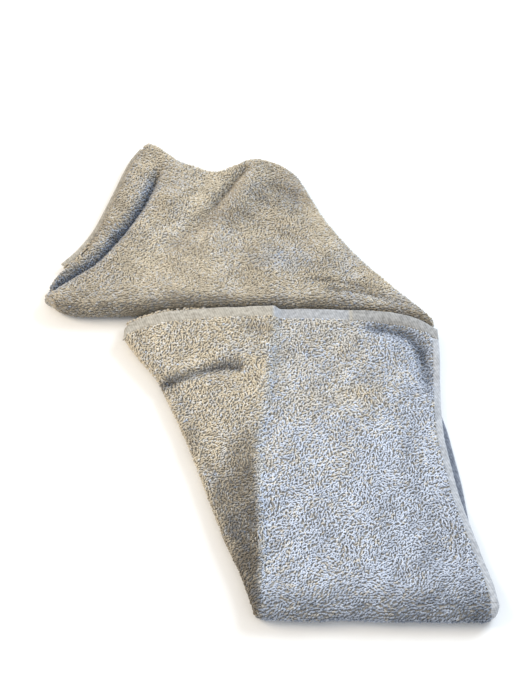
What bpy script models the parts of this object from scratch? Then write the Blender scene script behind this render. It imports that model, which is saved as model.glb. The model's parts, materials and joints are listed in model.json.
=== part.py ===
"""Golf towel, folded and laid down, with a front flap that opens about its fold.

Metres, +Z up.  The towel lies on the floor plane.  The rear packet is the cloth folded three
layers deep.  The front packet is one layer with a flap on it; the flap is the towel's end, whose
left corner is tucked under it.  The flap turns about the centre line of the front fold.
"""

import math

import bmesh
import bpy
import numpy as np
from mathutils import Vector

# driving dimensions
CLOTH = 0.0042  # thickness of the terry, pile included
FOLDED_CLOTH = 0.0034  # the terry is pressed thinner where it turns a tight fold
HEM_CLOTH = 0.0024  # thickness of a flat-woven hem
THREAD = 0.0007  # thickness of a line of stitching
GAP = 0.0003  # air left between pieces that touch

END_HEM_WIDTH = 0.0115
SIDE_HEM_WIDTH = 0.0065

FOLD_Y = -0.246  # centre line of the fold that the flap opens about
FOLD_RADIUS = 0.0065  # half the height of that fold
FOLD_OVERHANG = 0.0037  # level cloth of a fold, behind its centre line
SIDE_OVERHANG = 0.0020  # the same on the narrower fold at the flap's left

# edges of the front packet, front to back, as (x, y)
FLAP_LEFT = ((0.003, -0.242), (-0.036, -0.154), (-0.073, -0.061), (-0.103, -0.016), (-0.112, 0.014))
FLAP_RIGHT = ((0.188, -0.242), (0.171, -0.160), (0.163, -0.085), (0.166, -0.020), (0.166, 0.014))
FLAP_ARCH = 0.019  # how far the end hem arches towards the rear packet
ARCH_POWER = 6  # flat along the middle, round at the corners
FLAP_RISE = 0.0035  # the flap climbs this much where it meets the rear packet
RISE_START_Y = -0.050
RISE_END_Y = 0.010
TUCK_START = 0.004  # the tucked corner starts this far behind the front fold
RIDGE_SHARE_FRONT = 0.05  # the tucked corner's inner edge, as a share of the flap's width
RIDGE_SHARE_BACK = 0.47
UNDER_LEFT = ((0.008, -0.242), (-0.030, -0.154), (-0.066, -0.061), (-0.097, 0.000), (-0.114, 0.036))
UNDER_RIGHT = ((0.182, -0.242), (0.178, -0.160), (0.170, -0.085), (0.164, 0.000), (0.160, 0.036))

# edges of the rear packet, front to back
REAR_LEFT = ((-0.172, 0.052), (-0.158, 0.088), (-0.138, 0.130), (-0.118, 0.178), (-0.092, 0.234))
REAR_RIGHT = ((0.126, 0.052), (0.096, 0.080), (0.067, 0.117), (0.041, 0.164), (0.022, 0.204))
REAR_DIP = 0.020  # the far edge sags in this much between its two corners
REAR_FOLD_RADIUS = 0.0115
REAR_CROWN = 0.0035  # the top layer bulges by this much
REAR_SLACK = 0.0040  # air between the middle and top layers at the far edge
RIGHT_OUT = (0.80, 0.60)  # level direction that the right fold faces
SLOPE_ROOM = 0.0015  # more air beside a layer that slopes
ROLL_RADIUS = 0.0068  # the rolled band along the left end
INNER_SHIFT = 0.006  # the middle layer stands out to the left by this much

LAYER_CELLS = (10, 8)  # cells across and along each layer of cloth
FOLD_CELLS = (14, 7)  # cells along a fold and round it
HEM_CELLS = 16
FINE_STEPS = 60  # points that a smooth edge is read from

TERRY = (0.62, 0.58, 0.52)
HEM = (0.66, 0.63, 0.58)
COTTON_THREAD = (0.55, 0.50, 0.44)

COLLECTION = "golf_towel"


# scene and materials
def clear_scene():
    for item in list(bpy.data.objects):
        bpy.data.objects.remove(item, do_unlink=True)


def cloth_material(name, colour, roughness):
    made = bpy.data.materials.new(name)
    made.use_nodes = True
    shader = made.node_tree.nodes["Principled BSDF"]
    shader.inputs["Base Color"].default_value = (*colour, 1.0)
    shader.inputs["Roughness"].default_value = roughness
    shader.inputs["Metallic"].default_value = 0.0
    return made


def empty(name, location):
    pivot = bpy.data.objects.new(name, None)
    pivot.location = location
    bpy.data.collections[COLLECTION].objects.link(pivot)
    return pivot


def place(piece, pivot, look):
    """Link a piece, give it its material and hang it on a pivot without moving it."""
    bpy.data.collections[COLLECTION].objects.link(piece)
    piece.data.materials.append(look)
    piece.parent = pivot
    piece.location = -pivot.location


# sheets of cloth
def smooth_edge(points, share):
    """Points at the given shares, 0 to 1, of a smooth curve through a few fixed points."""
    fixed = np.array(points, dtype=float)
    place_on = share * (len(fixed) - 1)
    low = np.clip(np.floor(place_on).astype(int), 0, len(fixed) - 2)
    part = (place_on - low)[:, None]
    start, stop = fixed[low], fixed[low + 1]
    slope_in = (stop - fixed[np.maximum(low - 1, 0)]) / 2
    slope_out = (fixed[np.minimum(low + 2, len(fixed) - 1)] - start) / 2
    rise = part**2 * (3 - 2 * part)
    return (
        start * (1 - rise)
        + stop * rise
        + slope_in * part * (1 - part) ** 2
        - slope_out * part**2 * (1 - part)
    )


def ease(value, low, high):
    """0 below low, 1 above high, smooth in between."""
    part = np.clip((value - low) / (high - low), 0.0, 1.0)
    return part * part * (3 - 2 * part)


def steps(cells):
    return np.linspace(0.0, 1.0, cells + 1)


def edge_x(points, y):
    """Where a smooth edge, drawn front to back, crosses each y."""
    fine = smooth_edge(points, steps(FINE_STEPS))
    return np.interp(y, fine[:, 1], fine[:, 0])


def between(west_x, east_x, row_y, cells):
    """Grid of x, y in level rows from one edge to the other."""
    across = steps(cells)[None, :]
    x = west_x[:, None] * (1 - across) + east_x[:, None] * across
    return x, np.broadcast_to(row_y[:, None], x.shape)


def cloth_layer(name, x, y, z, thickness, pivot, look, inwards=False):
    """A layer of cloth: an open grid of points, thickened by Solidify along its normals.

    A flat layer's grid is its underside and grows upwards; a fold's grid is its outside and
    grows inwards.
    """
    rows, columns = x.shape
    mesh = bpy.data.meshes.new(name)
    grid = bmesh.new()
    bmesh.ops.create_grid(grid, x_segments=columns - 1, y_segments=rows - 1, size=1.0)
    places = np.stack([x, y, np.broadcast_to(z, x.shape)], axis=-1).reshape(-1, 3)
    for corner, spot in zip(grid.verts, places):
        corner.co = Vector(spot)
    grid.to_mesh(mesh)
    grid.free()
    mesh.shade_smooth()
    piece = bpy.data.objects.new(name, mesh)
    place(piece, pivot, look)
    wall = piece.modifiers.new("Cloth thickness", "SOLIDIFY")
    wall.thickness = thickness
    wall.offset = -1.0 if inwards else 1.0
    return piece


def half_round(name, line, radius, outwards, thickness, pivot, look, overhang=FOLD_OVERHANG):
    """A fold: cloth that runs level for an overhang, turns a half circle and comes back.

    line is the row of points where the fold's underside starts; radius may change along it,
    and outwards is the level direction of its nose.
    """
    turn = steps(FOLD_CELLS[1])[:, None] * math.pi
    none, level = np.zeros((1, len(line))), np.ones((1, len(line)))
    reach = np.concatenate([none, overhang + np.sin(turn) * radius[None, :], none])
    climb = np.concatenate([none, (1 - np.cos(turn)) * radius[None, :], 2 * radius * level])
    x = line[None, :, 0] + outwards[0] * reach
    y = line[None, :, 1] + outwards[1] * reach
    z = line[None, :, 2] + climb
    return cloth_layer(name, x, y, z, thickness, pivot, look, inwards=True)


def stitching(name, points, pivot, look):
    """One line of thread, as a thin round rod on top of the hem."""
    curve = bpy.data.curves.new(name, "CURVE")
    curve.dimensions = "3D"
    curve.bevel_depth = THREAD / 2
    curve.bevel_resolution = 1
    curve.use_fill_caps = True
    line = curve.splines.new("POLY")
    line.points.add(len(points) - 1)
    for point, spot in zip(line.points, points):
        point.co = (*spot, 1.0)
    piece = bpy.data.objects.new(name, curve)
    place(piece, pivot, look)
    return piece


# the flap: the towel's end, turned back over the front packet
def flap_height(y):
    """Underside of the flap, which climbs towards the waist."""
    level = 2 * FOLD_RADIUS - CLOTH
    return level + FLAP_RISE * ease(y, RISE_START_Y, RISE_END_Y)


def hem_arch(share):
    """How far the flap's back edge stands back, at shares of its width."""
    return FLAP_ARCH * (1 - np.abs(2 * share - 1) ** ARCH_POWER)


def left_fold_radius(y):
    tucked_underside = CLOTH + GAP
    return (flap_height(y) + CLOTH - tucked_underside) / 2


def add_flap(pivot, terry, hem, thread):
    front, back = FLAP_LEFT[0][1], FLAP_LEFT[-1][1]
    hem_front = back - END_HEM_WIDTH
    along = steps(LAYER_CELLS[1])
    row_y = front + (hem_front - GAP - front) * along
    west_x = edge_x(FLAP_LEFT, row_y) + left_fold_radius(row_y) + SIDE_OVERHANG + GAP
    east_x = edge_x(FLAP_RIGHT, row_y)
    lift = (CLOTH - HEM_CLOTH) / 2

    # main layer, short of the end hem at the back and of the side hem at the right
    x, y = between(west_x, east_x - SIDE_HEM_WIDTH - GAP, row_y, LAYER_CELLS[0])
    y = y + hem_arch(steps(LAYER_CELLS[0]))[None, :] * along[:, None] ** 4
    cloth_layer("front_flap_layer", x, y, flap_height(y), CLOTH, pivot, terry)

    # right side hem and its stitching
    x, y = between(east_x - SIDE_HEM_WIDTH, east_x, row_y, 1)
    cloth_layer("right_side_hem", x, y, flap_height(y) + lift, HEM_CLOTH, pivot, hem)
    thread_lift = HEM_CLOTH + GAP + THREAD / 2
    thread_z = flap_height(row_y) + lift + thread_lift
    line = np.column_stack([east_x - SIDE_HEM_WIDTH / 2, row_y, thread_z])
    stitching("right_side_stitching", line[1:-1], pivot, thread)

    # end hem along the arched back edge, and its stitching
    share = steps(HEM_CELLS)
    left_end, right_end = FLAP_LEFT[-1][0], FLAP_RIGHT[-1][0]
    back_x = left_end + (right_end - left_end) * share
    back_y = back + hem_arch(share)
    hem_z = flap_height(RISE_END_Y) + lift
    x = np.stack([back_x, back_x])
    y = np.stack([back_y - END_HEM_WIDTH, back_y])
    cloth_layer("end_hem", x, y, hem_z, HEM_CLOTH, pivot, hem)
    thread_y = back_y - END_HEM_WIDTH + 2 * THREAD
    line = np.column_stack([back_x, thread_y, np.full(len(share), hem_z + thread_lift)])
    stitching("end_hem_stitching", line[1:-1], pivot, thread)

    # left fold, from the flap down to the corner tucked under it, as far as the end hem
    fold_y = row_y[::-1]
    radius = left_fold_radius(fold_y) - GAP / 2
    fold_x = edge_x(FLAP_LEFT, fold_y) + radius + SIDE_OVERHANG
    line = np.column_stack([fold_x, fold_y, np.full(len(fold_y), CLOTH + GAP)])
    half_round("left_fold", line, radius, (-1.0, 0.0), FOLDED_CLOTH, pivot, terry, SIDE_OVERHANG)

    # corner tucked under the flap, up to its own side hem, which shows as a ridge
    tuck_y = front + TUCK_START + (hem_front - GAP - front - TUCK_START) * along
    tuck_west = edge_x(FLAP_LEFT, tuck_y) + left_fold_radius(tuck_y) + SIDE_OVERHANG + GAP
    full_west, full_east = edge_x(FLAP_LEFT, tuck_y), edge_x(FLAP_RIGHT, tuck_y)
    ridge = RIDGE_SHARE_FRONT + (RIDGE_SHARE_BACK - RIDGE_SHARE_FRONT) * along
    ridge_x = full_west + (full_east - full_west) * ridge
    x, y = between(tuck_west, ridge_x, tuck_y, LAYER_CELLS[0])
    floor = CLOTH + GAP
    cloth_layer("tucked_corner_layer", x, y, floor, CLOTH - GAP, pivot, terry)
    x, y = between(ridge_x + GAP, ridge_x + GAP + SIDE_HEM_WIDTH, tuck_y, 1)
    cloth_layer("tucked_side_hem", x, y, floor, HEM_CLOTH, pivot, hem)
    x = np.stack([tuck_west[-1] + (ridge_x[-1] - tuck_west[-1]) * share] * 2)
    tuck_back = tuck_y[-1] + GAP
    arch = hem_arch(share * RIDGE_SHARE_BACK)
    y = np.stack([np.full(len(share), tuck_back), tuck_back + END_HEM_WIDTH / 3 + arch])
    cloth_layer("tucked_end_hem", x, y, floor, HEM_CLOTH, pivot, hem)


# the layers that lie still
def add_front_base(pivot, terry, hem):
    front, back = UNDER_LEFT[0][1], UNDER_LEFT[-1][1]
    row_y = front + (back - front) * steps(LAYER_CELLS[1])
    west_x, east_x = edge_x(UNDER_LEFT, row_y), edge_x(UNDER_RIGHT, row_y)
    x, y = between(west_x, east_x - SIDE_HEM_WIDTH - GAP, row_y, LAYER_CELLS[0])
    cloth_layer("front_under_layer", x, y, 0.0, CLOTH, pivot, terry)
    x, y = between(east_x - SIDE_HEM_WIDTH, east_x, row_y, 1)
    cloth_layer("under_side_hem", x, y, 0.0, HEM_CLOTH, pivot, hem)

    # the front fold, which bends when the flap opens
    share = steps(FOLD_CELLS[0])[:, None]
    west, east = np.array(FLAP_LEFT[0]), np.array(FLAP_RIGHT[0])
    line = west + (east - west) * share - np.array([0.0, GAP])
    line = np.column_stack([line, np.zeros(len(share))])
    radius = np.full(len(share), FOLD_RADIUS)
    half_round("front_fold", line, radius, (0.0, -1.0), CLOTH, pivot, terry)


def rear_height(along):
    """Underside of the top layer: level with the front fold, and lower at the back."""
    front = 2 * REAR_FOLD_RADIUS - CLOTH
    back = 2 * (CLOTH + GAP) + REAR_SLACK
    return front + (back - front) * ease(along, 0.1, 1.0)


def rear_grid(shift_left):
    """Rows from the left end to the right fold; the far rows sag in between their corners."""
    along = steps(LAYER_CELLS[1])[:, None]
    across = steps(LAYER_CELLS[0])[None, :]
    west, east = smooth_edge(REAR_LEFT, along[:, 0]), smooth_edge(REAR_RIGHT, along[:, 0])
    x = (west[:, :1] - shift_left) * (1 - across) + east[:, :1] * across
    place_in_row = np.clip((x - west[:, :1]) / (east[:, :1] - west[:, :1]), 0.0, 1.0)
    y = west[:, 1:] + (east[:, 1:] - west[:, 1:]) * place_in_row
    return x, y - np.sin(math.pi * place_in_row) * REAR_DIP * along**3


def add_rear_packet(pivot, terry, hem, thread):
    x, y = rear_grid(0.0)
    cloth_layer("rear_bottom_layer", x, y, 0.0, CLOTH, pivot, terry)
    far_line = np.column_stack([x[-1], y[-1] + GAP, 0 * x[-1]])[::-1]
    right_line = np.column_stack([x[:, -1] + GAP, y[:, -1], 0 * x[:, -1]])
    x, y = rear_grid(INNER_SHIFT)
    cloth_layer("rear_middle_layer", x, y, CLOTH + GAP, CLOTH, pivot, terry)

    across = steps(LAYER_CELLS[0])[None, :]
    along = steps(LAYER_CELLS[1])[:, None]
    x, y = rear_grid(-2 * ROLL_RADIUS - SLOPE_ROOM)
    y = y + SLOPE_ROOM * (1 - 2 * along)
    x = x - SLOPE_ROOM * across
    crown = REAR_CROWN * np.sin(math.pi * across) * np.sin(math.pi * along)
    cloth_layer("rear_top_layer", x, y, rear_height(along) + crown, CLOTH, pivot, terry)

    # folds at the far edge and at the right, which join the top layer to the bottom one
    radius = np.full(len(far_line), (rear_height(1.0) + CLOTH) / 2)
    half_round(
        "rear_far_fold", far_line[1:-2], radius[1:-2], (0.0, 1.0), CLOTH, pivot, terry, SIDE_OVERHANG
    )
    radius = (rear_height(along[:, 0]) + CLOTH) / 2
    half_round("rear_right_fold", right_line, radius, RIGHT_OUT, CLOTH, pivot, terry, SIDE_OVERHANG)

    # front fold of the rear packet
    share = steps(FOLD_CELLS[0])
    west, east = np.array(REAR_LEFT[0]), np.array(REAR_RIGHT[0])
    line = west + (east - west) * share[:, None] - np.array([0.0, GAP])
    line = np.column_stack([line, np.zeros(len(share))])
    radius = np.full(len(share), REAR_FOLD_RADIUS)
    half_round("rear_front_fold", line, radius, (0.0, -1.0), CLOTH, pivot, terry)

    # rolled band along the left end
    end_line = smooth_edge(REAR_LEFT, steps(LAYER_CELLS[1]))
    roll = bpy.data.curves.new("left_end_roll", "CURVE")
    roll.dimensions = "3D"
    roll.bevel_depth = ROLL_RADIUS
    roll.bevel_resolution = 2
    roll.use_fill_caps = True
    spline = roll.splines.new("POLY")
    spline.points.add(len(end_line) - 1)
    height = 2 * (CLOTH + GAP) + ROLL_RADIUS
    for point, spot in zip(spline.points, end_line):
        point.co = (spot[0] + ROLL_RADIUS, spot[1] + ROLL_RADIUS, height, 1.0)
    place(bpy.data.objects.new("left_end_roll", roll), pivot, terry)

    # hem of the towel's far end, which lines the middle layer's left edge
    edge = smooth_edge(REAR_LEFT, steps(HEM_CELLS)) - np.array([INNER_SHIFT + GAP, 0.0])
    outer = edge - np.array([END_HEM_WIDTH * 0.6, -0.002])
    x = np.stack([edge[::-1, 0], outer[::-1, 0]])
    y = np.stack([edge[::-1, 1], outer[::-1, 1]])
    cloth_layer("far_end_hem", x, y, CLOTH + GAP, HEM_CLOTH, pivot, hem)
    middle = (edge + outer) / 2
    top = CLOTH + GAP + HEM_CLOTH + GAP + THREAD / 2
    stitching(
        "far_hem_stitching",
        np.column_stack([middle, np.full(len(middle), top)])[1:-1],
        pivot,
        thread,
    )


def centre_on_floor(pivots):
    """Move everything so that the towel's outline is centred on the origin."""
    bpy.context.view_layer.update()
    graph = bpy.context.evaluated_depsgraph_get()
    corners = []
    for piece in bpy.data.collections[COLLECTION].objects:
        if piece.type != "EMPTY":
            solid = piece.evaluated_get(graph)
            corners += [solid.matrix_world @ corner.co for corner in solid.to_mesh().vertices]
            solid.to_mesh_clear()
    x, y = [corner.x for corner in corners], [corner.y for corner in corners]
    middle = Vector(((min(x) + max(x)) / 2, (min(y) + max(y)) / 2, 0.0))
    for pivot in pivots:
        pivot.location -= middle


def main():
    clear_scene()
    bpy.context.scene.collection.children.link(bpy.data.collections.new(COLLECTION))
    terry = cloth_material("terry", TERRY, 0.95)
    hem = cloth_material("hem", HEM, 0.85)
    thread = cloth_material("thread", COTTON_THREAD, 0.7)
    towel = empty("laid_towel", (0.0, 0.0, 0.0))
    flap_pivot = empty("front_flap_pivot", (0.0, FOLD_Y, FOLD_RADIUS))
    add_front_base(towel, terry, hem)
    add_rear_packet(towel, terry, hem, thread)
    add_flap(flap_pivot, terry, hem, thread)
    centre_on_floor((towel, flap_pivot))


main()
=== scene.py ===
import json
import math

import bpy
import numpy as np
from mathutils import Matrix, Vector

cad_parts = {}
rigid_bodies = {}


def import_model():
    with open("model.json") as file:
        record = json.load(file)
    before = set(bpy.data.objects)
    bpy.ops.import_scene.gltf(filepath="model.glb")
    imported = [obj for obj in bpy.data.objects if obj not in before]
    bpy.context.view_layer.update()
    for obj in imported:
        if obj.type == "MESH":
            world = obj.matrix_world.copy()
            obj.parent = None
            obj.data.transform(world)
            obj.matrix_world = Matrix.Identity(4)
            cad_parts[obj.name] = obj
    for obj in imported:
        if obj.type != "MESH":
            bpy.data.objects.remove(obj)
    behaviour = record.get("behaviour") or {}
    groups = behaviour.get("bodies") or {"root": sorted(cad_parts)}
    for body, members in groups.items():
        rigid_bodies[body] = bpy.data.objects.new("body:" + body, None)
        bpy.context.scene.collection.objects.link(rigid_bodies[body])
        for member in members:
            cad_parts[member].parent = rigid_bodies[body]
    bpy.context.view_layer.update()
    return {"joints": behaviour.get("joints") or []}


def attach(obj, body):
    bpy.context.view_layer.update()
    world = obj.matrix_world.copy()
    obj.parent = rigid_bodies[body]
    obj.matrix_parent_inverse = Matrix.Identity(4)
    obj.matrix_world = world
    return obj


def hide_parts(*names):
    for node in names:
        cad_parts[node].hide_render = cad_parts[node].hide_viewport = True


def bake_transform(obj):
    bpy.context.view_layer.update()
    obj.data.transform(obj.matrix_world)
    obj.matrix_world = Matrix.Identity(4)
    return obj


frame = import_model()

# ---- the towel as a whole: cloth and pile, in metres
towel = {
    "clothThick": 0.0026,  # woven ground, without the pile
    "hemThick": 0.0018,
    "loopPitchAcross": 0.00215,  # along a row of loops
    "loopPitchAlong": 0.00190,  # from row to row
    "loopLong": 0.0030,
    "loopHigh": 0.0019,
    "yarnRadius": 0.00074,
    "loopSlant": 0.85,  # main direction of the loops, radians from the rows
    "loopDrift": 1.10,  # how far that direction wanders over the cloth
    "loopScatter": 0.55,  # and from loop to loop
    "archPower": 0.75,  # below 1 a loop rises steeply and is flat on top
    "endWidth": 0.2,  # yarn radius at a loop's ends, as a share, and how soon it fills out
    "widthPower": 0.35,
    "rootDepth": 0.0006,  # how far the loops' ends reach into the cloth
    "jitter": 0.28,  # loops stand off their even spacing by up to this share of the pitch
    "groundCell": 0.0026,  # size of the cells of the ground cloth's mesh
    "loopsInPiece": 4400,
    "hiddenPile": 1.6,  # pitch of the pile between the layers, next to that of the outside
}


# ---- small helpers
def smoothCurve(points, share):
    # points on a smooth curve (Catmull-Rom) through a few fixed ones, at shares 0 to 1
    fixed = np.array(points, float)
    spot = np.clip(share, 0, 1) * (len(fixed) - 1)
    low = np.clip(np.floor(spot).astype(int), 0, len(fixed) - 2)
    part = (spot - low)[..., None]
    a, b = fixed[low], fixed[low + 1]
    slopeIn = (b - fixed[np.maximum(low - 1, 0)]) / 2
    slopeOut = (fixed[np.minimum(low + 2, len(fixed) - 1)] - a) / 2
    rise = part**2 * (3 - 2 * part)
    return a * (1 - rise) + b * rise + slopeIn * part * (1 - part) ** 2 - slopeOut * part**2 * (1 - part)


def edgeAt(points, y):
    # x where an edge drawn front to back crosses y; past its ends it runs straight on
    fine = smoothCurve(points, np.linspace(0, 1, 120))
    fine = fine[np.argsort(fine[:, 1])]
    inside = np.interp(y, fine[:, 1], fine[:, 0])
    slopeLow = (fine[4, 0] - fine[0, 0]) / (fine[4, 1] - fine[0, 1])
    slopeHigh = (fine[-1, 0] - fine[-5, 0]) / (fine[-1, 1] - fine[-5, 1])
    below, above = np.minimum(y - fine[0, 1], 0), np.maximum(y - fine[-1, 1], 0)
    return inside + below * slopeLow + above * slopeHigh


def ease(value, low, high):
    # 0 below low, 1 above high, smooth in between
    part = np.clip((value - low) / (high - low), 0, 1)
    return part * part * (3 - 2 * part)


def bump(value, middle, width):
    # a bell of height 1 around middle
    return np.exp(-(((value - middle) / width) ** 2))


def softNoise(x, y, size, seed):
    # smooth unevenness from -1 to 1: a sum of nine slanted sine waves of about that wavelength
    rng = np.random.default_rng(seed)
    total = np.zeros(np.broadcast(x, y).shape)
    for k in range(9):
        angle, stretch, phase = rng.uniform(0, math.tau), rng.uniform(0.6, 1.7), rng.uniform(0, math.tau)
        wave = math.tau / (size * stretch)
        total += np.sin(wave * (x * math.cos(angle) + y * math.sin(angle)) + phase)
    return total / 4.5


def alongPath(x, y, path, width, endSoft=0.15):
    # 1 on a line drawn through a few points, falling off as a bell to its sides and at its ends
    line = smoothCurve(path, np.linspace(0, 1, 40))
    x, y = np.broadcast_arrays(x, y)
    gapX, gapY = x[..., None] - line[:, 0], y[..., None] - line[:, 1]
    square = gapX**2 + gapY**2
    nearest = square.argmin(-1)
    near = np.take_along_axis(square, nearest[..., None], -1)[..., 0]
    share = nearest / 39
    fade = ease(share, 0, endSoft) * (1 - ease(share, 1 - endSoft, 1))
    return np.exp(-near / width**2) * (0.05 + 0.95 * fade)


def toneSum(x, y, tones, column):
    # sum of soft spots, bells in x times bells in y: each is x, y, its two widths, darkening, coolness
    total = 0.0
    for spot in tones:
        total = total + spot[column] * bump(x, spot[0], spot[2]) * bump(y, spot[1], spot[3])
    return total


def gridNormals(grid):
    # unit normals of a grid of points: columns run along the first direction, rows along the second
    acrossStep = np.gradient(grid, axis=1)
    alongStep = np.gradient(grid, axis=0)
    normal = np.cross(acrossStep, alongStep)
    return normal / np.maximum(np.linalg.norm(normal, axis=2, keepdims=True), 1e-12)


def meshFrom(name, points, faces, material, smooth=True):
    # a mesh object from whole arrays of points and of faces with the same number of corners
    mesh = bpy.data.meshes.new(name)
    mesh.vertices.add(len(points))
    mesh.vertices.foreach_set("co", np.asarray(points, np.float32).ravel())
    corners = faces.shape[1]
    mesh.loops.add(faces.size)
    mesh.loops.foreach_set("vertex_index", faces.astype(np.int32).ravel())
    mesh.polygons.add(len(faces))
    mesh.polygons.foreach_set("loop_start", np.arange(0, faces.size, corners, dtype=np.int32))
    mesh.update(calc_edges=True)
    mesh.validate()
    mesh.polygons.foreach_set("use_smooth", np.full(len(mesh.polygons), smooth))
    for one in material if isinstance(material, (list, tuple)) else [material]:
        mesh.materials.append(one)
    piece = bpy.data.objects.new(name, mesh)
    bpy.context.scene.collection.objects.link(piece)
    return piece


def clothShell(name, grid, thick, material):
    # a closed sheet: the grid is its outside, the inside lies one thickness in along the normals
    rows, columns = grid.shape[:2]
    inner = grid - gridNormals(grid) * thick
    points = np.concatenate([grid.reshape(-1, 3), inner.reshape(-1, 3)])
    index = np.arange(rows * columns).reshape(rows, columns)
    a, b = index[:-1, :-1], index[:-1, 1:]
    c, d = index[1:, 1:], index[1:, :-1]
    outside = np.stack([a, b, c, d], -1).reshape(-1, 4)
    inside = outside[:, ::-1] + rows * columns
    ring = np.concatenate([index[0, :-1], index[:-1, -1], index[-1, :0:-1], index[:0:-1, 0]])
    after = np.roll(ring, -1)
    rim = np.stack([ring, ring + rows * columns, after + rows * columns, after], -1)
    return meshFrom(name, points, np.concatenate([outside, inside, rim]), material)


def gridArea(grid):
    # area of a grid of points: half the cross product of each cell's diagonals, summed
    one, other = grid[1:, 1:] - grid[:-1, :-1], grid[1:, :-1] - grid[:-1, 1:]
    return float(np.linalg.norm(np.cross(one, other), axis=2).sum() / 2)


def onGrid(grid, rowSpot, columnSpot):
    # points read from a grid at fractional rows and columns, by straight interpolation
    rows, columns = grid.shape[:2]
    row = np.clip(rowSpot, 0, rows - 1.001)
    column = np.clip(columnSpot, 0, columns - 1.001)
    i, j = row.astype(int), column.astype(int)
    p, q = (row - i)[:, None], (column - j)[:, None]
    return (
        grid[i, j] * (1 - p) * (1 - q)
        + grid[i + 1, j] * p * (1 - q)
        + grid[i, j + 1] * (1 - p) * q
        + grid[i + 1, j + 1] * p * q
    )


def loopSpots(grid, seed, pitch=1.0, mask=None):
    # rows of loops at an even pitch over a grid; every other row is shifted by half a loop
    rng = np.random.default_rng(seed)
    rows, columns = grid.shape[:2]
    stepAlong = np.linalg.norm(np.diff(grid, axis=0), axis=2).max(1)
    lengthAlong = np.concatenate([[0], np.cumsum(stepAlong)])
    pitchAlong, pitchAcross = towel["loopPitchAlong"] * pitch, towel["loopPitchAcross"] * pitch
    count = max(2, int(lengthAlong[-1] / pitchAlong))
    rowSpots = np.interp((np.arange(count) + 0.5) / count * lengthAlong[-1], lengthAlong, np.arange(rows))
    stepAcross = np.linalg.norm(np.diff(grid, axis=1), axis=2)
    foundRow, foundColumn = [], []
    for k, spot in enumerate(rowSpots):
        length = np.concatenate([[0], np.cumsum(stepAcross[int(round(spot))])])
        number = max(2, int(length[-1] / pitchAcross))
        wanted = (np.arange(number) + 0.25 + 0.5 * (k % 2)) / number * length[-1]
        wanted = wanted + rng.uniform(-towel["jitter"], towel["jitter"], number) * pitchAcross
        foundColumn.append(np.interp(wanted, length, np.arange(columns)))
        offRow = rng.uniform(-towel["jitter"], towel["jitter"], number) * pitchAlong
        foundRow.append(spot + offRow / stepAlong.mean())
    rowAt, columnAt = np.concatenate(foundRow), np.concatenate(foundColumn)
    if mask is not None:
        keep = onGrid(mask[..., None], rowAt, columnAt)[:, 0] > rng.uniform(0.25, 0.75, len(rowAt))
        rowAt, columnAt = rowAt[keep], columnAt[keep]
    return rowAt, columnAt


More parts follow.
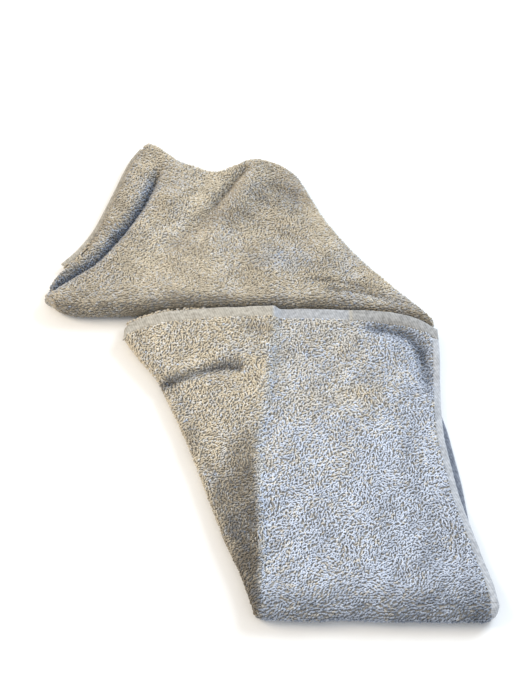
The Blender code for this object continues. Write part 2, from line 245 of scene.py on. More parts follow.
def pile(name, grid, seed, cool, shade, straight=None, mask=None, hidden=False):
    # terry loops: each is a bent yarn that rises out of the ground, arches over and goes back in;
    # cool and shade give, over the cloth, the share of cool yarn, a painted cool light colour, and how much darker the
    # loops are, painted shade, straight, 0 to 1 over the grid, lines the loops up with their rows, hidden takes a
    # coarser pile
    rng = np.random.default_rng(seed + 1)
    pitch = towel["hiddenPile"] if hidden else 1.0
    rowAt, columnAt = loopSpots(grid, seed, pitch, mask)
    number = len(rowAt)
    foot = onGrid(grid, rowAt, columnAt)
    up = onGrid(gridNormals(grid), rowAt, columnAt)
    up /= np.linalg.norm(up, axis=1, keepdims=True)
    side = onGrid(np.gradient(grid, axis=1), rowAt, columnAt)
    side -= up * (side * up).sum(1, keepdims=True)
    side /= np.maximum(np.linalg.norm(side, axis=1, keepdims=True), 1e-9)
    front = np.cross(up, side)
    turn = towel["loopDrift"] * softNoise(foot[:, 0], foot[:, 1] + foot[:, 2], 0.035, seed + 2)
    turn = towel["loopSlant"] + turn + rng.normal(0, towel["loopScatter"], number)
    if straight is not None:
        turn = turn * (1 - onGrid(straight[..., None], rowAt, columnAt)[:, 0])
    run = side * np.cos(turn)[:, None] + front * np.sin(turn)[:, None]
    across = np.cross(up, run)
    long = towel["loopLong"] * pitch * rng.uniform(0.72, 1.25, number)
    high = towel["loopHigh"] * rng.uniform(0.75, 1.2, number)
    bend = towel["loopLong"] * rng.normal(0, 0.13, number)
    tilt = towel["loopHigh"] * rng.normal(0, 0.30, number)
    thick = towel["yarnRadius"] * pitch * rng.uniform(0.85, 1.15, number)

    share = np.array([0.0, 0.20, 0.5, 0.80, 1.0])
    arch = np.sin(np.pi * share) ** towel["archPower"]
    width = towel["endWidth"] + (1 - towel["endWidth"]) * np.sin(np.pi * share) ** towel["widthPower"]
    middle = (
        foot[:, None, :]
        + run[:, None, :] * (long[:, None, None] * (share - 0.5)[None, :, None])
        + up[:, None, :] * (high[:, None, None] * arch[None, :, None] - towel["rootDepth"])
        + across[:, None, :] * (bend[:, None] * np.sin(np.pi * share) + tilt[:, None] * arch)[:, :, None]
    )
    forward = np.gradient(middle, axis=1)
    forward /= np.linalg.norm(forward, axis=2, keepdims=True)
    outward = np.cross(forward, across[:, None, :])
    outward /= np.linalg.norm(outward, axis=2, keepdims=True)
    other = np.cross(forward, outward)
    sides = 3 if hidden else 4
    about = (np.arange(sides) + 0.5) / sides * math.tau
    radius = thick[:, None] * width[None, :]
    ring = (
        middle[:, :, None, :]
        + outward[:, :, None, :] * (np.cos(about)[None, None, :, None] * radius[:, :, None, None])
        + other[:, :, None, :] * (np.sin(about)[None, None, :, None] * radius[:, :, None, None])
    )
    rings = len(share)
    perLoop = rings * sides
    index = np.arange(perLoop).reshape(rings, sides)
    a, b = index[:-1], np.roll(index[:-1], -1, axis=1)
    d, c = index[1:], np.roll(index[1:], -1, axis=1)
    tube = np.stack([a, b, c, d], -1).reshape(-1, 4)
    if sides == 4:
        oneLoop = np.concatenate([tube, [index[0, ::-1], index[-1]]])
    else:
        split = np.concatenate([tube[:, [0, 1, 2]], tube[:, [0, 2, 3]]])
        oneLoop = np.concatenate([split, [index[0, ::-1], index[-1]]])
    # colour of each loop: its level carries the painted shade and painted light, its kind the painted warm and cool
    # light colour, each following where it stands, with some chance
    local = foot - origin
    level = yarn["usual"] + 0.4 * softNoise(local[:, 0], local[:, 1], 0.03, seed + 3)
    level = level + rng.normal(0, yarn["scatter"], number) - yarn["shadeDepth"] * shade(local[:, 0], local[:, 1])
    level = np.clip(np.round(level), 0, yarn["levels"] - 1)
    kinds = len(yarn["kinds"])
    kind = np.round(cool(local[:, 0], local[:, 1]) * (kinds - 1) + rng.normal(0, yarn["mixing"], number))
    slot = (level + yarn["levels"] * np.clip(kind, 0, kinds - 1)).astype(np.int32)
    pieces = []
    parts = max(1, math.ceil(number / towel["loopsInPiece"]))
    for k in range(parts):
        chosen = slice(k * number // parts, (k + 1) * number // parts)
        many = len(ring[chosen])
        faces = (oneLoop[None] + (np.arange(many) * perLoop)[:, None, None]).reshape(-1, oneLoop.shape[1])
        label = f"{name}{k + 1}" if parts > 1 else name
        piece = meshFrom(label, ring[chosen].reshape(-1, 3), faces, yarnLooks)
        piece.data.polygons.foreach_set("material_index", np.repeat(slot[chosen], len(oneLoop)))
        pieces.append(piece)
    return pieces


def stitches(name, path, normals, long, thick, share):
    # a row of stitches: short capsules of thread along a line of points, each covering a share of its pitch
    count = int(np.linalg.norm(np.diff(path, axis=0), axis=1).sum() / long)
    spot = np.linspace(0, len(path) - 1, count + 1)
    sampled = onGrid(np.repeat(path[:, None], 2, 1), spot, np.zeros(count + 1))
    up = onGrid(np.repeat(normals[:, None], 2, 1), spot[:-1], np.zeros(count))
    start, stop = sampled[:-1], sampled[:-1] + (sampled[1:] - sampled[:-1]) * share
    forward = (stop - start) / np.linalg.norm(stop - start, axis=1, keepdims=True)
    across = np.cross(forward, up)
    along = np.array([0.0, 0.2, 0.5, 0.8, 1.0])
    lift, width = thick * (np.sin(np.pi * along) - 0.25), thick * (0.35 + 0.65 * np.sin(np.pi * along))
    middle = start[:, None] + (stop - start)[:, None] * along[None, :, None] + up[:, None] * lift[None, :, None]
    about = np.arange(6) / 6 * math.tau
    ring = (
        middle[:, :, None]
        + across[:, None, None] * (np.cos(about)[None, None, :, None] * width[None, :, None, None])
        + up[:, None, None] * (np.sin(about)[None, None, :, None] * width[None, :, None, None])
    )
    index = np.arange(30).reshape(5, 6)
    a, b = index[:-1], np.roll(index[:-1], -1, axis=1)
    d, c = index[1:], np.roll(index[1:], -1, axis=1)
    tube = np.stack([a, d, c, b], -1).reshape(-1, 4)
    ends = np.array([index[0, [0, 1, 2, 3]], index[0, [0, 3, 4, 5]], index[-1, [3, 2, 1, 0]], index[-1, [5, 4, 3, 0]]])
    one = np.concatenate([tube, ends])
    faces = (one[None] + (np.arange(count) * 30)[:, None, None]).reshape(-1, 4)
    piece = meshFrom(name, ring.reshape(-1, 3), faces, threadLook)
    return piece


# ---- where things are: everything is measured from the hinge of the front flap, on the floor
hinge = frame["joints"][0]["pos_m"]
origin = np.array([hinge[0], hinge[1], 0.0])
foldRadius = hinge[2]
seamY = 0.004  # behind the hinge line, where the fold's cloth meets the flap and the under layer


def placed(x, y, z):
    # points of the whole frame from distances to the hinge
    x, y, z = np.broadcast_arrays(x, y, z)
    return np.stack([x, y, z], -1) + origin


# ---- camera, at the angle that shows the flap towards us
view = {"elevation": 55.0, "distance": 0.955, "lens": 55.0, "lookAt": (0.0110, 0.2460)}


def addCamera():
    # looks down at the target from the front, at the elevation and distance given
    lens = bpy.data.cameras.new("camera")
    lens.lens = view["lens"]
    lens.clip_start = 0.01
    camera = bpy.data.objects.new("camera", lens)
    bpy.context.scene.collection.objects.link(camera)
    lift = math.radians(view["elevation"])
    target = Vector(origin) + Vector((*view["lookAt"], 0.0))
    back = Vector((0.0, -math.cos(lift), math.sin(lift)))
    camera.location = target + back * view["distance"]
    camera.rotation_euler = back.to_track_quat("Z", "Y").to_euler()
    bpy.context.scene.camera = camera


addCamera()
print("camera placed")


# ---- materials
# loop colours: the levels of each kind are shaded and lit copies of one yarn, painted shade and painted light; the warm
# and cool kinds paint the colour of the warm room light and the cool window light
yarn = {
    "levels": 6,
    "usual": 4.1,  # level of the plain cloth, of 0 to 5
    "scatter": 0.42,
    "shadeDepth": 3.8,
    "mixing": 0.42,
    "kinds": (  # darkest and palest loop, linear colour
        ("warm", (0.165, 0.140, 0.107), (0.735, 0.650, 0.505)),
        ("middle", (0.160, 0.155, 0.155), (0.770, 0.745, 0.700)),
        ("cool", (0.135, 0.160, 0.210), (0.715, 0.780, 0.905)),
    ),
    "roughness": 0.92,
    "sheen": 0.25,
}
weave = {
    "twillAcross": 0.0022,  # pitch of the twill's ribs
    "twillAlong": 0.0048,
    "pick": 0.0013,
    "ribShare": 0.17,  # how much the ribs and the picks count in the weave's height
    "pickShare": 0.15,
    "unevenCell": 320.0,  # noise scale of the uneven yarn, and how much it counts in the tone
    "unevenShare": 2.0,
    "reliefStrength": 0.5,
    "reliefDepth": 0.0004,
    "stretchEdge": 400.0,  # one over the width, in metres, over which one stretch passes into the next
    "hemDark": (0.26, 0.240, 0.203),
    "hemPale": (0.50, 0.470, 0.412),
    "hemStretches": (  # from, to, darkest, palest: bluish beside the ridge, painted cool window light; duller right of that, painted shade
        (0.0195, 0.0900, (0.25, 0.257, 0.270), (0.455, 0.465, 0.487)),
        (0.0900, 0.3000, (0.195, 0.193, 0.190), (0.395, 0.394, 0.390)),
    ),
    # the woven ground is painted darker than the loops' yarn, as painted shade in the gaps between them
    "groundDark": (0.25, 0.237, 0.215),
    "groundPale": (0.42, 0.400, 0.365),
    # the side hems' grey is made bluish as painted cool window light
    "sideDark": (0.29, 0.302, 0.325),
    "sidePale": (0.51, 0.530, 0.565),
    # the under layer's side hem is painted dark: painted shadow in the gap under the flap's edge
    "underDark": (0.10, 0.115, 0.15),
    "underPale": (0.25, 0.275, 0.33),
    "thread": (0.56, 0.51, 0.43),
}


def plainMaterial(name, colour, roughness=0.9, sheen=0.3):
    # a cloth-like material of one colour
    made = bpy.data.materials.new(name)
    made.use_nodes = True
    shader = made.node_tree.nodes["Principled BSDF"]
    shader.inputs["Base Color"].default_value = (*colour, 1)
    shader.inputs["Roughness"].default_value = roughness
    shader.inputs["Sheen Weight"].default_value = sheen
    return made


def yarnMaterials():
    # loop colours in even steps from the darkest to the palest, kind after kind: shaded and lit copies of each yarn
    # colour, painted shade and painted light
    made = []
    for kind, dark, pale in yarn["kinds"]:
        for k in range(yarn["levels"]):
            part = k / (yarn["levels"] - 1)
            colour = [a + (b - a) * part for a, b in zip(dark, pale)]
            made.append(plainMaterial(f"{kind}Yarn{k + 1}", colour, yarn["roughness"], yarn["sheen"]))
    return made


def maths(tree, operation, a, b=None):
    # one math node; a and b are numbers or other nodes' outputs
    node = tree.nodes.new("ShaderNodeMath")
    node.operation = operation
    for socket, value in zip(node.inputs, (a, b)):
        if isinstance(value, (int, float)):
            socket.default_value = value
        elif value is not None:
            tree.links.new(value, socket)
    return node.outputs[0]


def weaveGroup():
    # twill: slanted ribs, sin(x / across + y / along), broken up by the picks, sin(y / pick), and a soft unevenness
    group = bpy.data.node_groups.new("twillWeave", "ShaderNodeTree")
    group.interface.new_socket("Vector", in_out="INPUT", socket_type="NodeSocketVector")
    group.interface.new_socket("Tone", in_out="OUTPUT", socket_type="NodeSocketFloat")
    group.interface.new_socket("Height", in_out="OUTPUT", socket_type="NodeSocketFloat")
    start, end = group.nodes.new("NodeGroupInput"), group.nodes.new("NodeGroupOutput")
    apart = group.nodes.new("ShaderNodeSeparateXYZ")
    group.links.new(start.outputs["Vector"], apart.inputs[0])
    x, y = apart.outputs["X"], apart.outputs["Y"]
    slant = maths(group, "ADD", maths(group, "MULTIPLY", x, math.tau / weave["twillAcross"]),
                  maths(group, "MULTIPLY", y, math.tau / weave["twillAlong"]))
    rib = maths(group, "SINE", slant)
    pick = maths(group, "SINE", maths(group, "MULTIPLY", y, math.tau / weave["pick"]))
    noise = group.nodes.new("ShaderNodeTexNoise")
    noise.inputs["Scale"].default_value = weave["unevenCell"]
    group.links.new(start.outputs["Vector"], noise.inputs["Vector"])
    height = maths(group, "ADD", maths(group, "MULTIPLY", rib, weave["ribShare"]),
                   maths(group, "MULTIPLY", pick, weave["pickShare"]))
    height = maths(group, "ADD", height, 0.5)
    uneven = maths(group, "MULTIPLY", maths(group, "SUBTRACT", noise.outputs[0], 0.5), weave["unevenShare"])
    tone = maths(group, "ADD", height, uneven)
    group.links.new(height, end.inputs["Height"])
    group.links.new(tone, end.inputs["Tone"])
    return group


def mixColours(tree, share, first, second):
    # first at share 0, second at share 1; each is a fixed colour or another node's output
    mix = tree.nodes.new("ShaderNodeMix")
    mix.data_type = "RGBA"
    tree.links.new(share, mix.inputs[0])
    for socket, value in ((mix.inputs[6], first), (mix.inputs[7], second)):
        if isinstance(value, tuple):
            socket.default_value = (*value, 1)
        else:
            tree.links.new(value, socket)
    return mix.outputs[2]


def clothMaterial(name, group, dark, pale, stretches=()):
    # colour from the weave's tone, other colours on stretches along x if asked for (on the end hem, painted light and
    # painted shade), and a bump from its height
    made = plainMaterial(name, pale, 0.92, 0.2)
    tree = made.node_tree
    shader = tree.nodes["Principled BSDF"]
    place = tree.nodes.new("ShaderNodeTexCoord").outputs["Object"]
    twill = tree.nodes.new("ShaderNodeGroup")
    twill.node_tree = group
    tree.links.new(place, twill.inputs["Vector"])
    colour = mixColours(tree, twill.outputs["Tone"], dark, pale)
    if stretches:
        apart = tree.nodes.new("ShaderNodeSeparateXYZ")
        tree.links.new(place, apart.inputs[0])
    for begin, finish, otherDark, otherPale in stretches:
        sides = []
        for edge, steep in ((begin, weave["stretchEdge"]), (finish, -weave["stretchEdge"])):
            gap = maths(tree, "MULTIPLY", maths(tree, "SUBTRACT", apart.outputs["X"], origin[0] + edge), steep)
            clamp = tree.nodes.new("ShaderNodeClamp")
            tree.links.new(gap, clamp.inputs[0])
            sides.append(clamp.outputs[0])
        within = maths(tree, "MULTIPLY", *sides)
        colour = mixColours(tree, within, colour, mixColours(tree, twill.outputs["Tone"], otherDark, otherPale))
    tree.links.new(colour, shader.inputs["Base Color"])
    relief = tree.nodes.new("ShaderNodeBump")
    relief.inputs["Strength"].default_value = weave["reliefStrength"]
    relief.inputs["Distance"].default_value = weave["reliefDepth"]
    tree.links.new(twill.outputs["Height"], relief.inputs["Height"])
    tree.links.new(relief.outputs[0], shader.inputs["Normal"])
    return made


yarnLooks = yarnMaterials()
twillWeave = weaveGroup()
groundLook = clothMaterial("ground", twillWeave, weave["groundDark"], weave["groundPale"])
endHemLook = clothMaterial("endHem", twillWeave, weave["hemDark"], weave["hemPale"], weave["hemStretches"])
hemLook = clothMaterial("hem", twillWeave, weave["hemDark"], weave["hemPale"])
sideHemLook = clothMaterial("sideHem", twillWeave, weave["sideDark"], weave["sidePale"])
shadedUnderHemLook = clothMaterial("underHem", twillWeave, weave["underDark"], weave["underPale"])
threadLook = plainMaterial("thread", weave["thread"])
print("materials made")


# ---- the flap
flap = {
    "flat": (0.406, 0.262),  # cloth when laid out: the towel's whole width
    "left": ((0.0040, 0.004), (-0.0035, 0.025), (-0.0115, 0.042), (-0.0190, 0.058), (-0.0270, 0.078),
             (-0.0345, 0.097), (-0.0440, 0.122), (-0.0543, 0.147), (-0.0700, 0.181), (-0.0800, 0.201),
             (-0.0925, 0.2185), (-0.1035, 0.2355), (-0.1090, 0.2460), (-0.1125, 0.2560)),
    "right": ((0.1892, 0.004), (0.1868, 0.025), (0.1799, 0.054), (0.1720, 0.088), (0.1668, 0.120),
              (0.1634, 0.148), (0.1632, 0.177), (0.1650, 0.207), (0.1672, 0.240), (0.1655, 0.262)),
    "hemBack": ((-0.1130, 0.2568), (-0.1113, 0.2608), (-0.1076, 0.2654), (-0.1011, 0.2689), (-0.0905, 0.2723),
                (-0.0762, 0.2755), (-0.0584, 0.2775), (-0.0396, 0.2786), (-0.0150, 0.2796), (0.0210, 0.2803),
                (0.0550, 0.2802), (0.0900, 0.2790), (0.1200, 0.2768),
                (0.1430, 0.2722), (0.1672, 0.2612)),
    "hemWide": 0.0128,
    "sideHemWide": 0.0070,
    "tuckUnderside": 0.0040,
    "ridge": ((0.0076, 0.004), (0.0082, 0.055), (0.0052, 0.131), (0.0106, 0.180), (0.0186, 0.250), (0.0208, 0.280)),
    "highRidge": 0.0140,  # top of the flap at the ridge, over the tucked corner
    "highLeft": 0.0098,  # and at its left fold
    "highRight": 0.0090,  # top of the flap where it is one layer thick
    "waistRise": 0.0070,
    "wrinkle": ((-0.088, 0.1955), (-0.076, 0.2002), (-0.049, 0.2105), (-0.0225, 0.2185), (-0.004, 0.2165)),
    "wrinkleDepth": 0.0032,
    # the press line and the wrinkle's tail are painted shade only, the tail with painted cool light too; the flap's
    # height has no fold along them
    "pressLine": ((-0.050, 0.200), (-0.0490, 0.165), (-0.0470, 0.120)),
    "wrinkleTail": ((-0.030, 0.2300), (-0.010, 0.2345), (0.026, 0.2350)),
    "wrinkleBack": ((-0.086, 0.2040), (-0.060, 0.2130), (-0.030, 0.2250), (0.000, 0.2300), (0.022, 0.2360)),
    "hollow": ((0.092, 0.2600), (0.118, 0.2585), (0.142, 0.2500), (0.1515, 0.2300), (0.1528, 0.1850)),
    "patch": ((-0.004, 0.2560), (0.013, 0.2520)),
    "tones": (  # x, y, widths along both, darkening, coolness: painted shade and painted light colour
        (0.090, 0.192, 0.026, 0.011, 0.06, -0.50),
        (0.070, 0.245, 0.040, 0.022, 0.0, -0.22),
        (-0.045, 0.140, 0.020, 0.030, -0.05, 0.0),
        (0.150, 0.030, 0.030, 0.030, 0.06, 0.0),
    ),
}


def hemBackY(x):
    # where the back edge of the end hem is, at x
    line = smoothCurve(flap["hemBack"], np.linspace(0, 1, 200))
    return np.interp(x, line[:, 0], line[:, 1])


def flapTop(x, y):
    # height of the flap: highest along the ridge, a step down to its right and a slope down to its left;
    # then the fold at the front, the waist at the back and the wrinkles are added
    x, y = np.broadcast_arrays(x, y)
    ridge, west, east = edgeAt(flap["ridge"], y), edgeAt(flap["left"], y), edgeAt(flap["right"], y)
    fromRidge = np.clip((ridge - x) / np.maximum(ridge - west, 0.012), 0, 1)
    tucked = flap["highRidge"] - (flap["highRidge"] - flap["highLeft"]) * fromRidge**1.4
    single = flap["highRight"] + 0.0012 * bump(x, ridge + 0.085, 0.045)
    z = single + (tucked - single) * (1 - ease(x, ridge, ridge + 0.0065))
    nose = 1 - ease(y, seamY, 0.045)
    z = z + (2 * foldRadius - z) * nose
    z = z + flap["waistRise"] * ease(y, 0.195, 0.272)
    z = z - 0.0028 * ease(y, 0.22, 0.27) * np.clip(np.abs(x - 0.027) / 0.139, 0, 1) ** 5
    z = z + 0.0009 * softNoise(x, y, 0.055, 11) * (1 - nose) + 0.0004 * softNoise(x, y, 0.022, 12)
    z = z - flap["wrinkleDepth"] * alongPath(x, y, flap["wrinkle"], 0.0040, 0.05)
    z = z + 0.0020 * alongPath(x, y, flap["wrinkleBack"], 0.0070, 0.2)
    z = z - 0.0050 * alongPath(x, y, flap["hollow"], 0.0080, 0.25)
    z = z - 0.0016 * alongPath(x, y, flap["patch"], 0.0060, 0.1)
    z = z - 0.0016 * ease(x, east - 0.013, east) ** 1.5 * ease(y, 0.01, 0.05)
    return z


def flapLightTint(x, y):
    # painted light colour, the share of cool loops: few left of the ridge where the warm room light falls, most right
    # of it in the cool window light, fewer in a warm patch and at the waist, more in the shaded wrinkle and hollow
    ridge = edgeAt(flap["ridge"], y)
    right = ease(x, ridge - 0.004, ridge + 0.005)
    share = 0.16 + right * (0.47 + 0.20 * ease(x, 0.05, 0.13) + 0.30 * (1 - ease(y, 0.06, 0.22)))
    share = share + 0.12 * softNoise(x, y, 0.05, 15)
    share = share - 0.30 * bump(x, edgeAt(flap["left"], y), 0.005)
    share = share + toneSum(x, y, flap["tones"], 5)
    share = share + 0.30 * alongPath(x, y, flap["wrinkle"], 0.004) + 0.30 * alongPath(x, y, flap["hollow"], 0.010)
    return share + 0.25 * alongPath(x, y, flap["wrinkleTail"], 0.006)


def flapShade(x, y):
    # painted shade: darker left of the ridge towards the front, at the front fold, in the wrinkle, in the hollow, along
    # the folds; painted light: paler along the left fold's edge and in a few soft spots
    ridge, west = edgeAt(flap["ridge"], y), edgeAt(flap["left"], y)
    left = 1 - ease(x, ridge - 0.004, ridge + 0.005)
    near = bump(x, ridge - 0.004, 0.026)
    front = 0.80 * near * (1 - ease(y, 0.10, 0.185)) + 0.18 * (1 - ease(y, 0.05, 0.14))
    shade = 0.08 + toneSum(x, y, flap["tones"], 4) + left * front
    shade = shade + 0.90 * alongPath(x, y, flap["wrinkle"], 0.0050, 0.05)
    shade = shade + 0.20 * alongPath(x, y, flap["wrinkleTail"], 0.0045, 0.3)
    shade = shade + 0.16 * alongPath(x, y, flap["pressLine"], 0.0050, 0.3) + 0.13 * ease(x, 0.09, 0.15)
    shade = shade + 0.80 * alongPath(x, y, flap["hollow"], 0.0062, 0.20)
    shade = shade + 0.38 * alongPath(x, y, flap["patch"], 0.0080, 0.1)
    shade = shade + 0.05 * (1 - left) + 0.50 * (1 - ease(y, -0.002, 0.026)) + 0.10 * softNoise(x, y, 0.035, 17)
    shade = shade + left * (0.20 * bump(x, west + 0.011, 0.006) - 0.14 * bump(x, west, 0.004))
    return shade - 0.10 * (1 - left) * bump(y, 0.13, 0.07) - 0.05 * left * bump(y, 0.225, 0.03)


def finishSheet(cloth, grid, flat):
    # prints the area the cloth's outside really has, next to its area when laid flat
    print(f"{cloth.name}: {gridArea(grid) * 1e4:.0f} of {flat[0] * flat[1] * 1e4:.0f} square cm")


def makeFlap():
    # the flap's cloth in one grid: from the ridge under the flap to the left fold, round it, over the top to
    # the side hem; its pile outside, and coarser pile between the layers
    cell = towel["groundCell"]
    v = np.linspace(0, 1, int(0.26 / cell))[:, None]
    line = seamY + (0.2515 - seamY) * v
    west, east = edgeAt(flap["left"], line), edgeAt(flap["right"], line)
    # top, from the left fold to the right side hem; rows bend with the hem as they near it
    half = (flapTop(west + 0.004, line) - flap["tuckUnderside"]) / 2
    s = np.linspace(0, 1, int(0.25 / cell))[None, :]
    topX = (west + half) + (east - flap["sideHemWide"] - west - half) * s
    topY = seamY + (hemBackY(topX) - flap["hemWide"] - seamY) * v
    topZ = flapTop(topX, topY)
    # round the left fold
    turn = np.linspace(0, math.pi, 11)[None, :-1]
    half = (topZ[:, :1] - flap["tuckUnderside"]) / 2
    foldX = west + half - half * np.sin(turn)
    foldZ = flap["tuckUnderside"] + half * (1 - np.cos(turn))
    foldY = np.broadcast_to(topY[:, :1], foldX.shape)
    # and back under it, to the ridge
    back = np.linspace(1, 0, int(0.13 / cell))[None, :-1]
    tuckX = (west + half) + (edgeAt(flap["ridge"], line) - west - half) * back
    tuckY = np.broadcast_to(topY[:, :1], tuckX.shape)
    tuckZ = np.full(tuckX.shape, flap["tuckUnderside"])
    grid = placed(np.concatenate([tuckX, foldX, topX], 1), np.concatenate([tuckY, foldY, topY], 1),
                  np.concatenate([tuckZ, foldZ, topZ], 1))
    cloth = clothShell("flapCloth", grid, towel["clothThick"], groundLook)
    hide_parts("front_flap_layer", "left_fold", "tucked_corner_layer")
    outer = grid[:, tuckX.shape[1]:]
    bottomRows = np.broadcast_to(0.5 * (1 - ease(outer[..., 1] - origin[1], 0.01, 0.05)), outer.shape[:2])
    loops = pile("flapPile", outer, 21, flapLightTint, flapShade, straight=bottomRows)
    # under the single layer the pile hangs from the inside of the cloth, under the tucked corner from its outside
    inner = (grid - gridNormals(grid) * towel["clothThick"])[:, tuckX.shape[1] + foldX.shape[1]:]
    beyond = (topX > edgeAt(flap["ridge"], topY) + 0.004).astype(float)
    loops += pile("flapUnderPile", inner[:, ::-1], 23, flapLightTint, flapShade, mask=beyond[:, ::-1], hidden=True)
    loops += pile("tuckedPile", grid[:, : tuckX.shape[1]], 25, underLightTint, underShade, hidden=True)
    for piece in [cloth, *loops]:
        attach(piece, "front_flap")
    finishSheet(cloth, grid, flap["flat"])


def bandGrid(x, y, z, thick):
    # a hem is doubled cloth: it swells in the middle and both its edges are rounded down
    across = np.linspace(0, 1, y.shape[0])[:, None]
    return placed(x, y, z + thick * (np.sqrt(np.clip(1 - (2 * across - 1) ** 4, 0, 1)) - 0.75))


def makeFlapHems():
    # end hem and side hem on the flap, with their stitches, and the hems of the corner tucked under it
    s = np.linspace(0, 1, 160)[None, :]
    across = np.linspace(0, 1, 12)[:, None]
    first, last = flap["hemBack"][0][0] + 0.0012, flap["hemBack"][-1][0] - 0.0003
    x = first + (last - first) * s
    y = hemBackY(x) - flap["hemWide"] * (1 - across)
    grid = bandGrid(x, y, flapTop(x, y), 0.0011)
    band = clothShell("endHemBand", grid, towel["hemThick"], endHemLook)
    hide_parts("end_hem")
    seams = [stitches("endHemStitches", grid[1], gridNormals(grid)[1], 0.0029, 0.00028, 0.62)]
    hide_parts("end_hem_stitching")

    y = np.linspace(seamY, 0.2500, 130)[:, None]
    across = np.linspace(0, 1, 9)[None, :]
    east = edgeAt(flap["right"], y)
    x = east - flap["sideHemWide"] * (1 - across)
    swell = 0.0009 * (np.sqrt(1 - (2 * across - 1) ** 4) - 0.75)
    grid = placed(x, y, flapTop(x, y) + swell)
    side = clothShell("rightSideHemBand", grid, towel["hemThick"], sideHemLook)
    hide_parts("right_side_hem")
    seams.append(stitches("rightSideStitches", grid[:, 1], gridNormals(grid)[:, 1], 0.0029, 0.00026, 0.62))
    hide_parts("right_side_stitching")

    # the hem of the tucked corner: its end shows as a fuzzy line behind the end hem at the left
    s = np.linspace(0, 1, 90)[None, :]
    across = np.linspace(0, 1, 8)[:, None]
    x = first + 0.0005 + 0.122 * s
    out = 0.0085 * (1 - ease(s, 0.45, 0.85)) - 0.0035
    y = hemBackY(x) + out - 0.010 * (1 - across)
    z = flapTop(x, y) - 0.0042 - 0.0016 * across**3
    grid = placed(x, y, z)
    tucked = clothShell("tuckedHemBand", grid, towel["hemThick"], hemLook)
    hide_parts("tucked_end_hem")
    fuzz = pile("tuckedFuzz", grid[4:], 27, flapLightTint, flapShade, hidden=True)

    # and its side hem lies under the ridge
    y = np.linspace(0.0, 0.240, 90)[:, None] + seamY
    across = np.linspace(1, 0, 5)[None, :]
    x = edgeAt(flap["ridge"], y) + 0.0065 * across
    grid = placed(x, y, flap["tuckUnderside"] + 0.0 * x)
    tuckedSide = clothShell("tuckedSideHemBand", grid, towel["hemThick"], hemLook)
    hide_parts("tucked_side_hem")
    for piece in (band, side, tucked, tuckedSide, *seams, *fuzz):
        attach(piece, "front_flap")
    print("hems made")


# ---- the layer under the flap, and the fold that joins the two
under = {
    "flat": (0.290, 0.278),
    "left": ((0.012, 0.004), (-0.018, 0.080), (-0.045, 0.145), (-0.070, 0.205), (-0.095, 0.262), (-0.103, 0.282)),
    "right": ((0.1850, 0.004), (0.1800, 0.035), (0.1774, 0.060), (0.1756, 0.085), (0.1738, 0.110), (0.1706, 0.135),
              (0.1672, 0.160), (0.1615, 0.190), (0.1600, 0.235), (0.1600, 0.282)),
    "top": 0.0034,
}


def underShade(x, y):
    # painted shade: darker towards the right edge
    return 0.12 + 0.25 * ease(x, 0.14, 0.16) + 0.0 * y


def underLightTint(x, y):
    # painted light colour: cooler towards the right edge
    return 0.45 + 0.4 * ease(x, 0.12, 0.16) + 0.1 * softNoise(x, y, 0.06, 35)


def makeUnder():
    # the layer the flap lies on: flat, a little lower at its right edge, with its side hem there
    cell = towel["groundCell"]
    y = seamY + (0.282 - seamY) * np.linspace(0, 1, int(0.278 / cell))[:, None]
    s = np.linspace(0, 1, int(0.25 / cell))[None, :]
    west, east = edgeAt(under["left"], y), edgeAt(under["right"], y) - flap["sideHemWide"]
    x = west + (east - west) * s
    z = under["top"] - 0.0008 * ease(x, east - 0.02, east) * ease(y, 0.03, 0.09) + 0.0 * y
    grid = placed(x, y, z)
    cloth = clothShell("underCloth", grid, towel["clothThick"], groundLook)
    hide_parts("front_under_layer")
    loops = pile("underPile", grid, 31, underLightTint, underShade, hidden=True)
    across = np.linspace(0, 1, 8)[None, :]
    x = east + flap["sideHemWide"] * across
    z = z[:, -1:] + 0.0007 * (np.sqrt(1 - (2 * across - 1) ** 4) - 0.5)
    # the under layer's side hem takes the dark hem colours, painted shadow under the flap's edge
    side = clothShell("underSideHemBand", placed(x, y, z), towel["hemThick"], shadedUnderHemLook)
    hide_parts("under_side_hem")
    for piece in [cloth, side, *loops]:
        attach(piece, "laid_towel")
    finishSheet(cloth, grid, under["flat"])


fold = {
    "flat": (0.190, 0.030),
    "reach": 0.0054,  # how far it bulges out in front of the hinge at its left end, and how much more at its right
    "moreReach": 0.0018,
    "endRound": 0.011,
    "endPlump": 0.10,
    "uneven": 0.16,
    "low": 0.0016,  # of its outside at the bottom
    "blendFrom": 0.0045,  # height where it starts to follow the flap, and over what height it does so fully
    "blendOver": 0.0050,
}


def frontFoldGrid(x, lift=0.0):
    # half a turn of cloth, from the under layer round to the flap; it reaches out least at its two ends,
    # which rounds the corners; lift pushes it outward
    west, east = float(edgeAt(flap["left"], seamY)), float(edgeAt(flap["right"], seamY))
    turn = np.linspace(0, math.pi, 15)[:, None]
    toEnd = np.clip(np.minimum(x - west, east - x) / fold["endRound"], 0, 1)
    plump = fold["endPlump"] + (1 - fold["endPlump"]) * np.sqrt(1 - (1 - toEnd) ** 2)
    topZ = flapTop(x, seamY)
    reach = (fold["reach"] + fold["moreReach"] * (x - west) / (east - west)) * plump
    reach = reach * (1 + fold["uneven"] * softNoise(x, 0 * x, 0.05, 7))
    low = fold["low"]
    y = np.concatenate([seamY + 0 * x, -reach * np.sin(turn) + seamY * (1 - plump), seamY + 0 * x])
    z = np.concatenate([low + 0 * x, low + (topZ - low) * (1 - np.cos(turn)) / 2, topZ])
    grid = placed(np.broadcast_to(x, y.shape), y, z)
    return grid + gridNormals(grid) * lift if lift else grid


